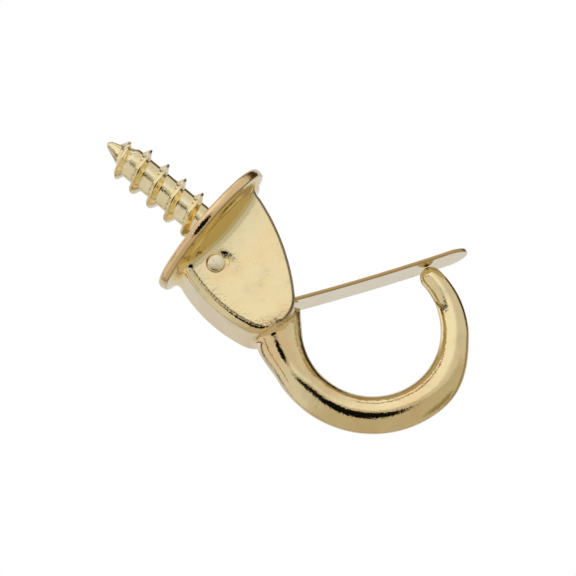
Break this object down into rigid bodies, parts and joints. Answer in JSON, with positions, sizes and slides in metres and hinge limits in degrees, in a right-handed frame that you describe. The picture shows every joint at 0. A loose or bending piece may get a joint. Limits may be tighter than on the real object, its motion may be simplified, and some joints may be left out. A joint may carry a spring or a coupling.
{
  "type": "cup hook",
  "caption": "Round-flanged screw-in hook with a slab-sided body, a round-bottomed hook, and a flat spring latch that closes the hook's mouth.",
  "frame": {"origin": "centre of the flange's flat seating face, on the screw's axis", "axes": "+Z along the screw towards its point, +X from the screw's axis towards the hook's mouth and tip, the hook lies in the XZ plane"},
  "size_m": [0.0246, 0.016, 0.0454],
  "materials": {
    "cast_brass": "polished brass plate over a casting",
    "screw_brass": "bright brass plate over a rolled thread",
    "strip_brass": "bright brass spring strip",
    "pin_brass": "polished brass, staked ends"
  },
  "bodies": {
    "hook": {"hook_body": "cast_brass", "wood_screw": "screw_brass", "latch_pin": "pin_brass"},
    "latch": {"latch_strip": "strip_brass"}
  },
  "joints": [
    {"name": "latch_hinge", "type": "hinge", "parent": "hook", "child": "latch", "pos_m": [-0.00343, 0, -0.00388], "axis": [0, -1, 0], "range_deg": [0, 20], "stiffness_Nm_per_rad": 0.23, "springref_deg": -2.86}
  ]
}
